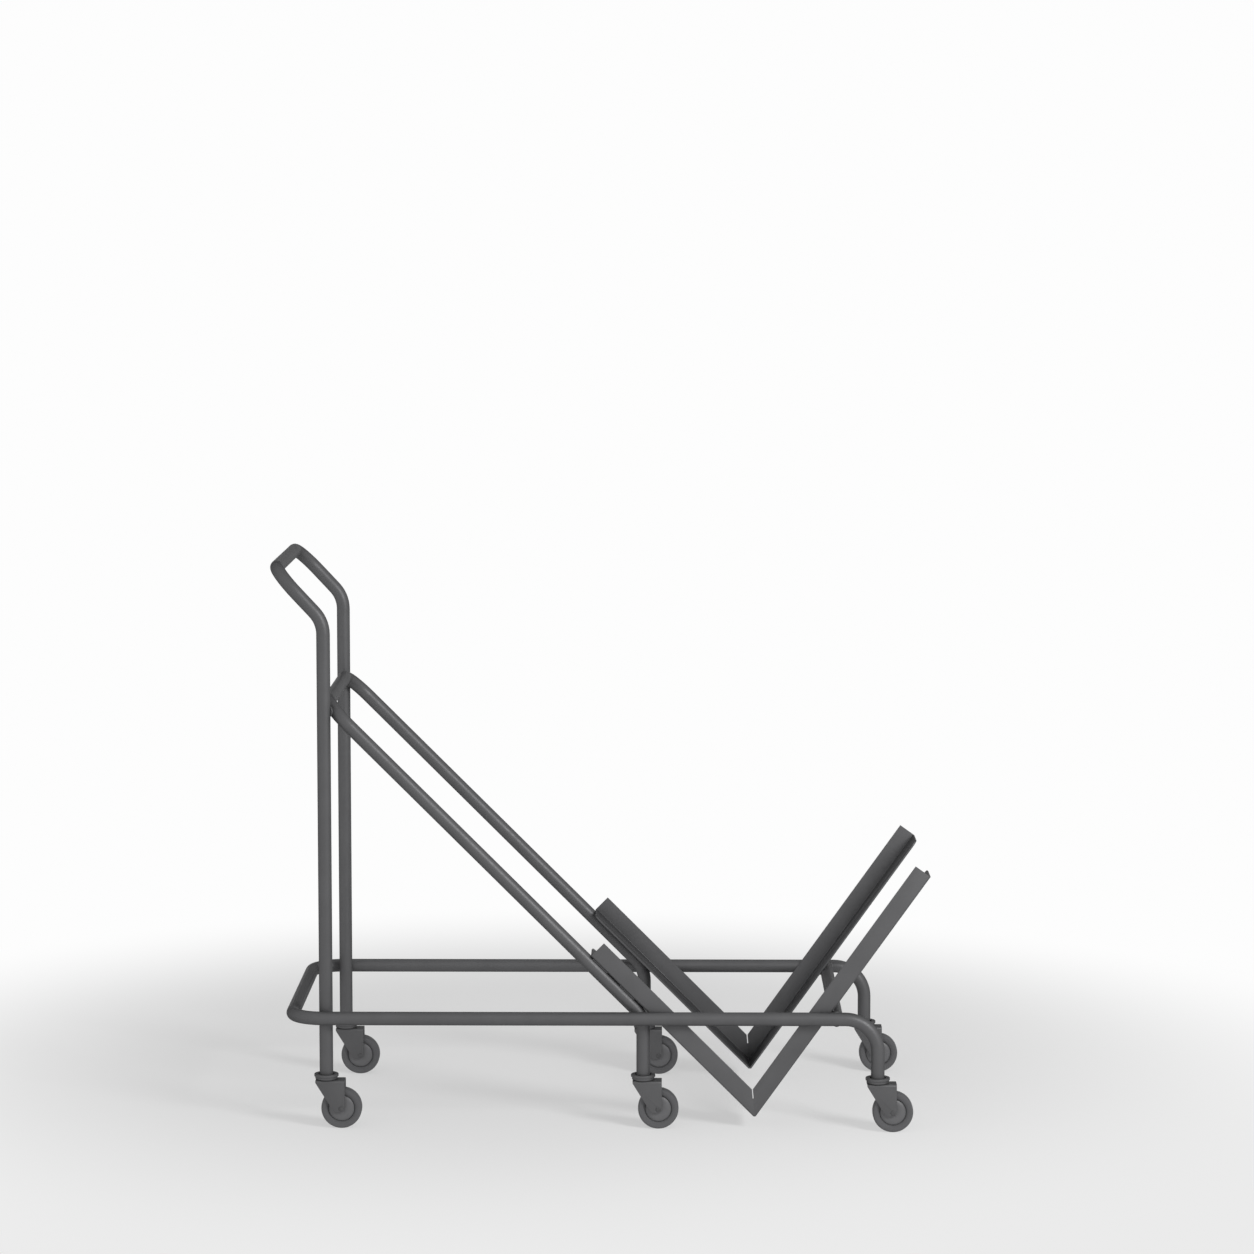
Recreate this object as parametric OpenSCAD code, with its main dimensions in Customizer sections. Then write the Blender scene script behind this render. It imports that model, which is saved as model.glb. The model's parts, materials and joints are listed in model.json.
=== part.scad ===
// Stacking chair trolley: a welded tube frame with two V cradles, on six swivel casters.
// Millimetres and degrees. +X is the front, where the cradles are, +Y is the left side, +Z is up.
// The origin is on the floor, under the middle of the whole trolley.

/* [Frame tube] */
// Outside diameter of every frame tube
tube_d = 25; // [22:0.5:28]
// Wall thickness of every frame tube
tube_wall = 2; // [1:0.1:3]
// Centre-line radius of every tube bend
bend_r = 60; // [45:1:70]
// How far bending draws in the tube's outer and inner surfaces
bend_draw = 0.02; // [0.01:0.01:0.1]
// Length of a bend, at each of its ends, that keeps the full section
bend_lead = 0.5; // [0.3:0.1:0.8]
// Root gap between two pieces that are welded side by side
weld_gap = 0.2; // [0.1:0.05:0.5]

/* [Base] */
// Distance between the axes of the two side rails
rail_spread = 520; // [460:1:600]
// Height of the side rails' axes above the floor
rail_z = 209; // [195:1:240]
// Straight run of a side rail behind the upright, before the rear corner
corner_lead = 3.5; // [0:0.5:40]
// Distance from the uprights forward to the middle caster legs
middle_leg_reach = 585; // [500:1:650]
// Distance from the uprights forward to the front caster legs
front_leg_reach = 1016.5; // [980:0.5:1100]

/* [Handle] */
// Height of the grip bar's axis above the floor
grip_z = 1035; // [950:1:1100]
// Distance from the uprights back to the grip bar's axis
grip_setback = 88.5; // [80:0.5:120]
// Lean of the handle from upright
grip_lean = 43; // [30:1:50]

/* [Slope tube] */
// Angle of the slope tube's legs above the floor
slope_angle = 45; // [40:1:48]

/* [Cradle] */
// Depth of an arm's shelf, from its outer face inwards
shelf_depth = 80; // [60:1:110]
// Height of an arm's upstand, from the underside of its shelf
upstand_h = 34; // [25:1:45]
// Thickness of the folded sheet
sheet_t = 3; // [2:0.1:4]
// Inside radius of the fold
fold_r = 1; // [0.5:0.1:3]
// Length of a rear arm along its outer edge
rear_arm_l = 427; // [300:1:460]
// Length of a front arm along its outer edge
front_arm_l = 553; // [400:1:600]
// Angle of a front arm above the floor
front_arm_angle = 54.5; // [50:0.5:60]
// Height of the sharp corner between the two outer edges above the floor
corner_z = 21; // [10:0.5:40]
// Width of the small flat that blunts that corner
corner_flat = 5; // [2:0.5:8]
// Root gap of the mitre between the two arms
mitre_gap = 0.6; // [0.5:0.05:0.9]
// Length of the open slit down from the inner corner
slit_l = 16; // [8:1:24]
// Width of the open slit
slit_w = 1.6; // [1:0.1:3]
// Radius of a shelf's free corner
shelf_corner_r = 12; // [4:1:20]

/* [Wheel] */
// Diameter of a wheel over its tyre
wheel_d = 75; // [65:1:80]
// Width of a tyre
tyre_w = 25; // [20:0.5:30]
// Radius of a tyre's shoulders
shoulder_r = 6; // [2:0.5:9]
// Diameter of a wheel core, inside the tyre
core_d = 49; // [40:0.5:54]
// Width of a wheel core at its rim
core_rim_w = 21; // [16:0.5:24]
// Rise of a wheel core's domed face above its rim
core_dome = 1.5; // [0.5:0.1:2]
// Diameter of a wheel bush
bush_d = 10; // [9:0.5:14]
// Diameter of an axle's shank
axle_d = 6; // [5:0.5:7]
// Diameter of an axle's rivet heads
axle_head_d = 10; // [8:0.1:12]
// Height of an axle's rivet heads
axle_head_h = 1.3; // [0.8:0.1:2]

/* [Fork] */
// Distance from the swivel axis to the wheel's axle
trail = 28; // [20:0.5:35]
// Thickness of the fork's sheet
fork_t = 3; // [2:0.1:4]
// Inside radius of the fork's bends
fork_fold_r = 1; // [0.5:0.1:3]
// Gap between a tyre's side and the fork
fork_side_gap = 2; // [1.5:0.1:4]
// Gap between the top of a wheel and the fork's top plate
fork_top_gap = 12.5; // [9:0.5:16]
// Reach of the fork's top plate behind the swivel axis
fork_back = 19.5; // [16:0.5:24]
// Reach of the fork's top plate in front of the swivel axis
fork_front = 34.5; // [30:0.5:42]
// Depth of the fork's square rear edge
fork_lip = 4; // [2:0.5:8]
// Radius of the rounded corners of the fork's lower ends
fork_eye_r = 6.5; // [6:0.5:12]
// Reach of the fork's lower ends behind the axle
fork_heel = 16; // [13:0.5:22]

/* [Swivel] */
// Radial width of the upper race outside the tube
race_rim = 10; // [8:0.5:14]
// Height of the upper race from its underside to its rim
race_h = 9.5; // [8.5:0.5:13]
// Height of the lip round the top of the upper race
race_lip_h = 4.8; // [3:0.1:6]
// Step in from that lip to the wall below it
race_lip_step = 1.8; // [1:0.1:2.5]
// Thickness of that wall, which goes down round the fork's raceway
race_wall = 2.2; // [1.5:0.1:3]
// Depth of the recess that takes the tube's end
race_recess = 3; // [1:0.1:3.5]
// Radial gap between the tube and the wall of that recess
race_recess_gap = 2.5; // [1:0.1:4]
// Chamfer of the upper race's edges
race_chamfer = 0.8; // [0.3:0.1:1.2]
// Height of the fork's raceway above its top plate
raceway_h = 1.5; // [1:0.1:2.5]
// Gap between the upper race and the fork
race_gap = 1; // [0.5:0.1:2]
// Diameter of the swivel balls
ball_d = 5; // [3.5:0.1:5.5]
// Number of balls in each swivel
ball_count = 12; // [6:1:14]
// Diameter of a caster stem
stem_d = 11; // [8:0.5:13]
// Diameter of the head that keeps the fork on the stem
stem_head_d = 18; // [16:0.5:22]
// Height of that head
stem_head_h = 3; // [2:0.5:4]
// Length of the sleeve that holds a stem in its tube
sleeve_l = 30; // [20:1:36]

/* [Clearances] */
// Radial running clearance of a shaft in its hole
run_clear = 0.05; // [0.02:0.01:0.1]
// Clearance between two fixed pieces, one inside the other
seat_clear = 0.05; // [0.02:0.01:0.1]
// Clearance round the swivel balls in their grooves
ball_clear = 0.1; // [0.05:0.01:0.2]
// End clearance of a bush between the fork's sides, and of the fork above the stem's head
end_clear = 0.3; // [0.1:0.05:0.5]

/* [Hidden] */
$fn = 96;
// Overrun of every cut past the face that it starts from
overrun = 5;

// Finishes
coat = "#5c5c5e";
tyre_grey = "#55565a";
core_grey = "#606164";
bright_steel = "#b4b6ba";
sleeve_black = "#2b2b2d";

// Tube
tube_r = tube_d / 2;
tube_bore = tube_d - 2 * tube_wall;

// Caster heights above the floor, from the wheel up
axle_z = wheel_d / 2;
fork_under_z = wheel_d + fork_top_gap;
fork_top_z = fork_under_z + fork_t;
race_z = fork_top_z + race_gap;
raceway_z = fork_top_z + raceway_h;
race_roof_z = raceway_z + race_gap;
ball_z = raceway_z + race_gap / 2;
race_top_z = race_z + race_h;
leg_end_z = race_top_z - race_recess;

// Caster widths and diameters
fork_gap = tyre_w + 2 * fork_side_gap;
fork_w = fork_gap + 2 * fork_t;
race_d = tube_d + 2 * race_rim;
race_wall_d = race_d - 2 * race_lip_step;
raceway_d = race_wall_d - 2 * (race_wall + race_gap);
ball_ring_r = (raceway_d + stem_d) / 4;
core_w = core_rim_w + 2 * core_dome;
dome_r = (pow(core_d / 2, 2) + pow(core_dome, 2)) / (2 * core_dome);

// Sideways places
rail_y = rail_spread / 2;
inner_y = rail_y - tube_d - weld_gap;
cradle_y = rail_y - tube_r - weld_gap;

// Lengthways places, counted from the uprights
rear_bar_x = -(bend_r + corner_lead);
elbow_z = grip_z - grip_setback / tan(grip_lean);
// Distance from an upright's axis to the slope tube's corner bend, for a crossbar at x
function corner_gap(x) = min([
    for (a = [0 : 90])
        norm([x + bend_r * (1 - sin(a)) * cos(slope_angle), bend_r * (1 - cos(a))])
]);
// The crossbar goes as far back as its corner bends allow beside the uprights
function seat_bar(near, far, steps) =
    steps == 0 ? far
    : let (middle = (near + far) / 2)
        corner_gap(middle) < tube_d + weld_gap
            ? seat_bar(middle, far, steps - 1)
            : seat_bar(near, middle, steps - 1);
halvings = 24;
slope_bar_x = seat_bar(-tube_d, 2 * tube_d, halvings);
slope_bar_z = rail_z + (middle_leg_reach - slope_bar_x) * tan(slope_angle);
// The rear arms lie on top of the slope tube's legs, and meet the front arms at the corner
bearing = tube_r + weld_gap;
corner_x = middle_leg_reach
    + (bearing + (rail_z - corner_z) * cos(slope_angle)) / sin(slope_angle);
front_end_x = corner_x + front_arm_l * cos(front_arm_angle);
// The cross tube lies under the front arms, level with the rails
cross_tube_u = (rail_z - corner_z + bearing * cos(front_arm_angle)) / sin(front_arm_angle);
cross_tube_x = corner_x + cross_tube_u * cos(front_arm_angle) + bearing * sin(front_arm_angle);

// Distance from the uprights back and forward to the ends of the whole trolley
rear_reach = max(grip_setback, -rear_bar_x) + tube_r;
front_reach = max(front_end_x, front_leg_reach + trail + wheel_d / 2);
upright_x = (rear_reach - front_reach) / 2;

// Cradle shape at the mitre
mitre_angle = (180 - slope_angle - front_arm_angle) / 2;
mitre_l = upstand_h / sin(mitre_angle);
flat_rise = corner_flat / (1 / tan(slope_angle) + 1 / tan(front_arm_angle));

// Casters by name, with the place of each swivel axis
CASTERS = [
    ["rear_right", 0, -inner_y],
    ["rear_left", 0, inner_y],
    ["middle_right", middle_leg_reach, -inner_y],
    ["middle_left", middle_leg_reach, inner_y],
    ["front_right", front_leg_reach, -rail_y],
    ["front_left", front_leg_reach, rail_y]
];
CASTER_PARTS = ["fork", "swivel_balls", "axle", "wheel_bush", "wheel_core", "tyre"];
FRAME_NODES = [
    "base_rail", "handle_tube", "slope_tube", "cradle_cross_tube",
    "right_cradle_rear_arm", "right_cradle_front_arm",
    "left_cradle_rear_arm", "left_cradle_front_arm",
    "stem_sleeves", "caster_stems", "upper_races"
];

// Bent tubes

function unit(v) = v / norm(v);
function leaving(p, i) = unit(p[i + 1] - p[i]);
function turn(p, i) = acos(leaving(p, i - 1) * leaving(p, i));
// Length that the bend at corner i takes from each of the two runs beside it
function bend_take(p, i) = i == 0 || i == len(p) - 1 ? 0 : bend_r * tan(turn(p, i) / 2);
// Any direction square to v
function square_to(v) = abs(v.z) < norm([v.x, v.y]) ? unit([-v.y, v.x, 0]) : unit([v.z, 0, -v.x]);

// Puts children at a place, with their X and Z axes along two given directions
module oriented(place, x, z) {
    y = cross(z, x);
    multmatrix([
        [x.x, y.x, z.x, place.x],
        [x.y, y.y, z.y, place.y],
        [x.z, y.z, z.z, place.z],
        [0, 0, 0, 1]
    ]) children();
}

module tube_ring(draw = 0) {
    difference() {
        circle(d = tube_d - 2 * draw);
        circle(d = tube_bore + 2 * draw);
    }
}

// A hollow tube through the corners of a path, bent at every corner between its ends
module bent_tube(p) {
    last = len(p) - 1;
    for (i = [0 : last - 1]) {
        run = leaving(p, i);
        start = bend_take(p, i) - (i > 0 ? bend_lead : 0);
        end = bend_take(p, i + 1) - (i + 1 < last ? bend_lead : 0);
        oriented(p[i] + start * run, square_to(run), run)
            linear_extrude(norm(p[i + 1] - p[i]) - start - end)
                tube_ring();
    }
    for (i = [1 : last - 1]) {
        before = leaving(p, i - 1);
        after = leaving(p, i);
        inward = unit(after - (after * before) * before);
        oriented(p[i] - bend_take(p, i) * before + bend_r * inward, -inward, unit(cross(before, after)))
            rotate_extrude(angle = turn(p, i))
                translate([bend_r, 0])
                    tube_ring(bend_draw);
    }
}

// Frame

module from_uprights() {
    translate([upright_x, 0, 0]) children();
}

module base_rail() {
    color(coat) from_uprights() bent_tube([
        [front_leg_reach, -rail_y, leg_end_z],
        [front_leg_reach, -rail_y, rail_z],
        [rear_bar_x, -rail_y, rail_z],
        [rear_bar_x, rail_y, rail_z],
        [front_leg_reach, rail_y, rail_z],
        [front_leg_reach, rail_y, leg_end_z]
    ]);
}

module handle_tube() {
    color(coat) from_uprights() bent_tube([
        [0, -inner_y, leg_end_z],
        [0, -inner_y, elbow_z],
        [-grip_setback, -inner_y, grip_z],
        [-grip_setback, inner_y, grip_z],
        [0, inner_y, elbow_z],
        [0, inner_y, leg_end_z]
    ]);
}

module slope_tube() {
    color(coat) from_uprights() bent_tube([
        [middle_leg_reach, -inner_y, leg_end_z],
        [middle_leg_reach, -inner_y, rail_z],
        [slope_bar_x, -inner_y, slope_bar_z],
        [slope_bar_x, inner_y, slope_bar_z],
        [middle_leg_reach, inner_y, rail_z],
        [middle_leg_reach, inner_y, leg_end_z]
    ]);
}

// Straight tube between the rails, with its ends shaped round them
module cradle_cross_tube() {
    color(coat) from_uprights() translate([cross_tube_x, 0, rail_z]) difference() {
        rotate([90, 0, 0])
            linear_extrude(rail_spread, center = true)
                tube_ring();
        for (side = [-1, 1])
            translate([0, side * rail_y, 0])
                rotate([0, 90, 0])
                    cylinder(r = bearing, h = tube_d + 2 * overrun, center = true);
    }
}

// Cradles. An arm is drawn with X along its outer edge from the sharp corner,
// Y across it from its outer face inwards, and Z up from the underside of its shelf.

// L-section of the folded sheet, across an arm
module arm_section() {
    outer_r = fold_r + sheet_t;
    difference() {
        union() {
            translate([outer_r, 0]) square([shelf_depth - outer_r, sheet_t]);
            translate([0, outer_r]) square([sheet_t, upstand_h - outer_r]);
            intersection() {
                translate([outer_r, outer_r]) circle(r = outer_r);
                square(outer_r);
            }
        }
        translate([outer_r, outer_r]) circle(r = fold_r);
    }
}

// Side of an arm, with the mitre at the corner and the slit at its inner end
module arm_side(arm_l) {
    mitre = [cos(mitre_angle), sin(mitre_angle)];
    away = [sin(mitre_angle), -cos(mitre_angle)];
    slit_start = mitre * (mitre_l - slit_l);
    polygon([
        away * mitre_gap / 2,
        [arm_l, -overrun],
        [arm_l, upstand_h + overrun],
        mitre * (mitre_l + overrun / sin(mitre_angle)) + away * slit_w / 2,
        slit_start + away * slit_w / 2,
        slit_start + away * mitre_gap / 2
    ]);
}

// Plan of an arm, with the free corner of its shelf rounded
module arm_plan(arm_l) {
    square([arm_l - shelf_corner_r, shelf_depth]);
    square([arm_l, shelf_depth - shelf_corner_r]);
    translate([arm_l - shelf_corner_r, shelf_depth - shelf_corner_r]) circle(r = shelf_corner_r);
}

module arm_body(arm_l) {
    intersection() {
        rotate([90, 0, 90]) linear_extrude(arm_l) arm_section();
        rotate([90, 0, 0])
            translate([0, 0, -shelf_depth - overrun])
                linear_extrude(shelf_depth + 2 * overrun)
                    arm_side(arm_l);
        translate([0, 0, -overrun]) linear_extrude(upstand_h + 2 * overrun) arm_plan(arm_l);
    }
}

// Blunts the low corner with a level cut
module above_corner_flat() {
    cut = [2 * mitre_l, shelf_depth + 2 * overrun, 2 * mitre_l];
    difference() {
        children();
        translate([-cut.x / 2, -overrun, flat_rise - cut.z]) cube(cut);
    }
}

module right_cradle() {
    color(coat) from_uprights() translate([corner_x, -cradle_y, corner_z]) above_corner_flat() children();
}

module left_cradle() {
    mirror([0, 1, 0]) right_cradle() children();
}

module front_arm() {
    rotate([0, -front_arm_angle, 0]) arm_body(front_arm_l);
}

module rear_arm() {
    mirror([1, 0, 0]) rotate([0, -slope_angle, 0]) arm_body(rear_arm_l);
}

// Casters, drawn with the swivel axis on Z and the floor at 0

module at_caster(c) {
    from_uprights() translate([c[1], c[2], 0]) children();
}

module stem_sleeves() {
    color(sleeve_black) for (c = CASTERS) at_caster(c) translate([0, 0, leg_end_z]) difference() {
        cylinder(d = tube_bore - 2 * seat_clear, h = sleeve_l);
        translate([0, 0, -overrun]) cylinder(d = stem_d + 2 * seat_clear, h = sleeve_l + 2 * overrun);
    }
}

module caster_stems() {
    head_top_z = fork_under_z - end_clear;
    color(bright_steel) for (c = CASTERS) at_caster(c) translate([0, 0, head_top_z - stem_head_h]) {
        cylinder(d = stem_head_d, h = stem_head_h);
        cylinder(d = stem_d, h = leg_end_z + sleeve_l - head_top_z + stem_head_h);
    }
}

module ball_groove() {
    translate([0, 0, ball_z])
        rotate_extrude()
            translate([ball_ring_r, 0])
                circle(r = ball_d / 2 + ball_clear);
}

module upper_races() {
    race_r = race_d / 2;
    wall_r = race_wall_d / 2;
    bore_r = stem_d / 2 + seat_clear;
    recess_r = tube_r + race_recess_gap;
    lip_z = race_top_z - race_lip_h;
    color(coat) for (c = CASTERS) at_caster(c) difference() {
        rotate_extrude() polygon([
            [bore_r, race_roof_z],
            [wall_r - race_wall, race_roof_z],
            [wall_r - race_wall, race_z],
            [wall_r - race_chamfer, race_z],
            [wall_r, race_z + race_chamfer],
            [wall_r, lip_z],
            [race_r - race_chamfer, lip_z],
            [race_r, lip_z + race_chamfer],
            [race_r, race_top_z - race_chamfer],
            [race_r - race_chamfer, race_top_z],
            [recess_r, race_top_z],
            [recess_r, leg_end_z],
            [bore_r, leg_end_z]
        ]);
        ball_groove();
    }
}

// Square-sided arch with rounded top corners, standing on the X axis of its plane
module arch(w, h, r) {
    translate([-w / 2, 0]) square([w, h - r]);
    translate([r - w / 2, 0]) square([w - 2 * r, h]);
    for (side = [-1, 1]) translate([side * (w / 2 - r), h - r]) circle(r = r);
}

// Point where a line from p touches a rounded end of the fork, on the side given by turn_way
function end_touch(p, end_x, turn_way) =
    let (eye = [end_x, axle_z], d = p - eye)
        let (a = atan2(d.y, d.x) + turn_way * acos(fork_eye_r / norm(d)))
            eye + fork_eye_r * [cos(a), sin(a)];

// Side of the fork, from its top plate down to the axle, with a flat lower edge between two rounded ends
module fork_side() {
    rear_low = [-fork_back, fork_top_z - fork_lip];
    front_high = [fork_front, fork_top_z];
    heel_x = trail - fork_heel + fork_eye_r;
    polygon([
        [-fork_back, fork_top_z],
        rear_low,
        end_touch(rear_low, heel_x, 1),
        [heel_x, axle_z],
        [heel_x, axle_z - fork_eye_r],
        [trail, axle_z - fork_eye_r],
        [trail, axle_z],
        end_touch(front_high, trail, -1),
        front_high
    ]);
    for (x = [heel_x, trail]) translate([x, axle_z]) circle(r = fork_eye_r);
}

module fork() {
    fork_l = fork_back + max(fork_front, trail + fork_eye_r);
    color(coat) difference() {
        union() {
            intersection() {
                translate([-fork_back, 0, 0]) rotate([90, 0, 90]) linear_extrude(fork_l) difference() {
                    arch(fork_w, fork_top_z, fork_fold_r + fork_t);
                    arch(fork_gap, fork_under_z, fork_fold_r);
                }
                rotate([90, 0, 0]) linear_extrude(fork_w, center = true) fork_side();
            }
            translate([0, 0, fork_top_z]) cylinder(d = raceway_d, h = raceway_h);
        }
        translate([0, 0, fork_under_z - overrun])
            cylinder(d = stem_d + 2 * run_clear, h = fork_t + raceway_h + 2 * overrun);
        translate([trail, 0, axle_z])
            rotate([90, 0, 0])
                cylinder(d = axle_d + 2 * seat_clear, h = fork_w + 2 * overrun, center = true);
        ball_groove();
    }
}

module swivel_balls() {
    color(bright_steel) for (i = [0 : ball_count - 1])
        rotate([0, 0, i * 360 / ball_count])
            translate([ball_ring_r, 0, ball_z])
                sphere(d = ball_d);
}

// Wheel, with its parts drawn round the axle as Z and moved to their place

module on_axle() {
    translate([trail, 0, axle_z]) rotate([90, 0, 0]) children();
}

module axle() {
    head_rim_share = 0.45;
    head_crown_share = 0.6;
    head_rim_h = head_rim_share * axle_head_h;
    color(bright_steel) on_axle() {
        cylinder(d = axle_d, h = fork_w, center = true);
        for (side = [0, 1]) mirror([0, 0, side]) translate([0, 0, fork_w / 2]) {
            cylinder(d = axle_head_d, h = head_rim_h);
            translate([0, 0, head_rim_h])
                cylinder(d1 = axle_head_d, d2 = head_crown_share * axle_head_d, h = axle_head_h - head_rim_h);
        }
    }
}

module wheel_bush() {
    bush_l = fork_gap - 2 * end_clear;
    color(bright_steel) on_axle() difference() {
        cylinder(d = bush_d, h = bush_l, center = true);
        cylinder(d = axle_d + 2 * run_clear, h = bush_l + 2 * overrun, center = true);
    }
}

module wheel_core() {
    color(core_grey) on_axle() difference() {
        intersection() {
            cylinder(d = core_d, h = core_w, center = true);
            for (side = [-1, 1]) translate([0, 0, side * (core_w / 2 - dome_r)]) sphere(r = dome_r);
        }
        cylinder(d = bush_d + 2 * seat_clear, h = core_w + 2 * overrun, center = true);
    }
}

module tyre() {
    bore_r = core_d / 2 + seat_clear;
    tread_r = wheel_d / 2;
    shoulder_x = tread_r - shoulder_r;
    shoulder_y = tyre_w / 2 - shoulder_r;
    color(tyre_grey) on_axle() rotate_extrude() {
        translate([bore_r, -tyre_w / 2]) square([shoulder_x - bore_r, tyre_w]);
        translate([bore_r, -shoulder_y]) square([tread_r - bore_r, 2 * shoulder_y]);
        for (side = [-1, 1]) translate([shoulder_x, side * shoulder_y]) circle(r = shoulder_r);
    }
}

base_rail();
handle_tube();
slope_tube();
cradle_cross_tube();
right_cradle() rear_arm();  // right_cradle_rear_arm
right_cradle() front_arm();  // right_cradle_front_arm
left_cradle() rear_arm();  // left_cradle_rear_arm
left_cradle() front_arm();  // left_cradle_front_arm
stem_sleeves();
caster_stems();
upper_races();
for (c = CASTERS) {
    at_caster(c) fork();
    at_caster(c) swivel_balls();
    at_caster(c) axle();
    at_caster(c) wheel_bush();
    at_caster(c) wheel_core();
    at_caster(c) tyre();
}
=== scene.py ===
import json
import math

import bmesh
import bpy
from bpy.props import FloatProperty, FloatVectorProperty, IntProperty, PointerProperty
from mathutils import Matrix, Vector

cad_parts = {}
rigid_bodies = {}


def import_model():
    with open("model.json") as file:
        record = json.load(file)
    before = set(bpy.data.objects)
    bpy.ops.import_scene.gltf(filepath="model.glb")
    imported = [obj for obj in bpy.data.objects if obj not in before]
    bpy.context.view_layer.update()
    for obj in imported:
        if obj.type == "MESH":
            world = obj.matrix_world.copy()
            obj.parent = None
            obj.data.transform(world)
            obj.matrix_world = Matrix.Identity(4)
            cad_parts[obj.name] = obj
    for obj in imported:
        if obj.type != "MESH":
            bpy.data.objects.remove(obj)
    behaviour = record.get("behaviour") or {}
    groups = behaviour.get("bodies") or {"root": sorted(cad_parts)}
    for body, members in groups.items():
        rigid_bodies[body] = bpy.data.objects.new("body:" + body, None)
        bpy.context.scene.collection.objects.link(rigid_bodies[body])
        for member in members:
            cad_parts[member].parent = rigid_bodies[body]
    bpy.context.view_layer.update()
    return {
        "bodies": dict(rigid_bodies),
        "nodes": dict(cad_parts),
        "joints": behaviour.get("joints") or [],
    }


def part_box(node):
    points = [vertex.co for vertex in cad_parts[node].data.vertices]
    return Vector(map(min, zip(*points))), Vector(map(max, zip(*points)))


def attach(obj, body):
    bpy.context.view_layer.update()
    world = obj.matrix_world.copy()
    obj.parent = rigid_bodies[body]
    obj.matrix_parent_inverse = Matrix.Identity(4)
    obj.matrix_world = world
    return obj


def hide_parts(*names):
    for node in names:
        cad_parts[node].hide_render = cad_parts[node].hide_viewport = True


bl_info = {
    "name": "Stacking Chair Trolley",
    "version": (1, 0, 0),
    "blender": (4, 5, 0),
    "location": "View3D > Sidebar > Trolley",
    "description": "Dresses the trolley's CAD frame with coat, cradles, casters, welds and a stage",
    "category": "Object",
}

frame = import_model()

MM = 0.001
# Vertices nearer to each other than this are one
MERGE = 0.002 * MM
# Faces that meet at less than this are one flat face
FLAT_ANGLE = math.radians(0.4)
# Steps round a rounded corner of a profile, and across an eased edge
ROUNDING_STEPS = 5
EASE_STEPS = 2
# Extra steps round a quarter of a weld bead
BEAD_RESOLUTION = 3
# Usual spread of a noise texture's values
NOISE_LOW, NOISE_HIGH = 0.3, 0.7
# Patches of roughness across one cloud of colour
ROUGH_PATCHES = 9
# Width of the camera's sensor in millimetres, and how far it sees in metres
SENSOR_WIDTH = 36
CLIP_END = 100
TUBES = ("base_rail", "handle_tube", "slope_tube", "cradle_cross_tube")
ARMS = ("right_cradle_rear_arm", "right_cradle_front_arm",
        "left_cradle_rear_arm", "left_cradle_front_arm")
CASTERS = [body[:-len("_caster")] for body in frame["bodies"] if body.endswith("_caster")]
UPRIGHTS = [name for name in CASTERS if name.startswith("rear")]
JOINT_AT = {joint["name"]: Vector(joint["pos_m"]) for joint in frame["joints"]}

# Places of the frame, read from the CAD nodes
CROSS_LOW, CROSS_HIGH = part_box("cradle_cross_tube")
TUBE_R = (CROSS_HIGH.z - CROSS_LOW.z) / 2
RAIL_Z = (CROSS_HIGH.z + CROSS_LOW.z) / 2
CROSS_X = (CROSS_HIGH.x + CROSS_LOW.x) / 2
RAIL_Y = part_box("base_rail")[1].y - TUBE_R
SLOPE_LOW, SLOPE_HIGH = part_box("slope_tube")
RACE_LOW, RACE_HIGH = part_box("upper_races")


def length(name, description, default, low=0, high=1000):
    """Property for a length, with its default and its limits given in millimetres"""
    return FloatProperty(name=name, description=description, subtype="DISTANCE", default=default * MM,
                         min=low * MM, max=high * MM)


class TrolleyFinish(bpy.types.PropertyGroup):
    """Colours and surface of the coat, the wheels and the bare metal"""

    coat_colour: FloatVectorProperty(
        name="Coat colour", description="Powder coat on the frame, cradles and forks",
        subtype="COLOR", size=3, min=0, max=1, default=(0.113, 0.113, 0.116))
    coat_roughness: FloatProperty(
        name="Coat roughness", description="Mean roughness of the powder coat",
        subtype="FACTOR", min=0, max=1, default=0.45)
    coat_gloss: FloatProperty(
        name="Coat gloss", description="Strength of the powder coat's reflections",
        subtype="FACTOR", min=0, max=1, default=0.02)
    coat_metal: FloatProperty(
        name="Coat metal", description="Share of metal flake in the powder coat",
        subtype="FACTOR", min=0, max=1, default=0.45)
    coat_edge: FloatProperty(
        name="Coat edge", description="Tint of the powder coat's reflections at a grazing angle",
        subtype="FACTOR", min=0, max=1, default=0.1)
    peel_size: length("Peel size", "Width of the powder coat's orange-peel cells", 1.3, 0.2, 10)
    peel_depth: length("Peel depth", "Depth of the powder coat's orange-peel cells", 0.008, 0, 1)
    tyre_colour: FloatVectorProperty(
        name="Tyre colour", description="Rubber of the tyres",
        subtype="COLOR", size=3, min=0, max=1, default=(0.108, 0.108, 0.111))
    core_colour: FloatVectorProperty(
        name="Core colour", description="Moulded plastic of the wheel cores",
        subtype="COLOR", size=3, min=0, max=1, default=(0.112, 0.112, 0.116))
    # Partly painted shade: the rivets have a dark finish, and are made darker than the coat also to stand
    # in for the shade round their heads
    rivet_colour: FloatVectorProperty(
        name="Rivet colour", description="Dark finish of the axle rivets",
        subtype="COLOR", size=3, min=0, max=1, default=(0.082, 0.082, 0.084))
    steel_colour: FloatVectorProperty(
        name="Steel colour", description="Plated steel of stems, balls and bushes",
        subtype="COLOR", size=3, min=0, max=1, default=(0.46, 0.46, 0.48))
    sleeve_colour: FloatVectorProperty(
        name="Sleeve colour", description="Moulded plastic of the stem sleeves",
        subtype="COLOR", size=3, min=0, max=1, default=(0.022, 0.022, 0.023))


class TrolleyEdges(bpy.types.PropertyGroup):
    """Eased edges of the sheet parts"""

    sheet_edge: length("Cradle edge", "Easing of the cradle sheet's cut edges", 0.5, 0, 2)
    fork_edge: length("Fork edge", "Easing of the fork sheet's cut edges", 0.45, 0, 2)
    sharp_angle: FloatProperty(
        name="Sharp angle", description="Edges that turn by more than this are eased",
        subtype="ANGLE", min=0, max=math.pi, default=math.radians(50))


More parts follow.
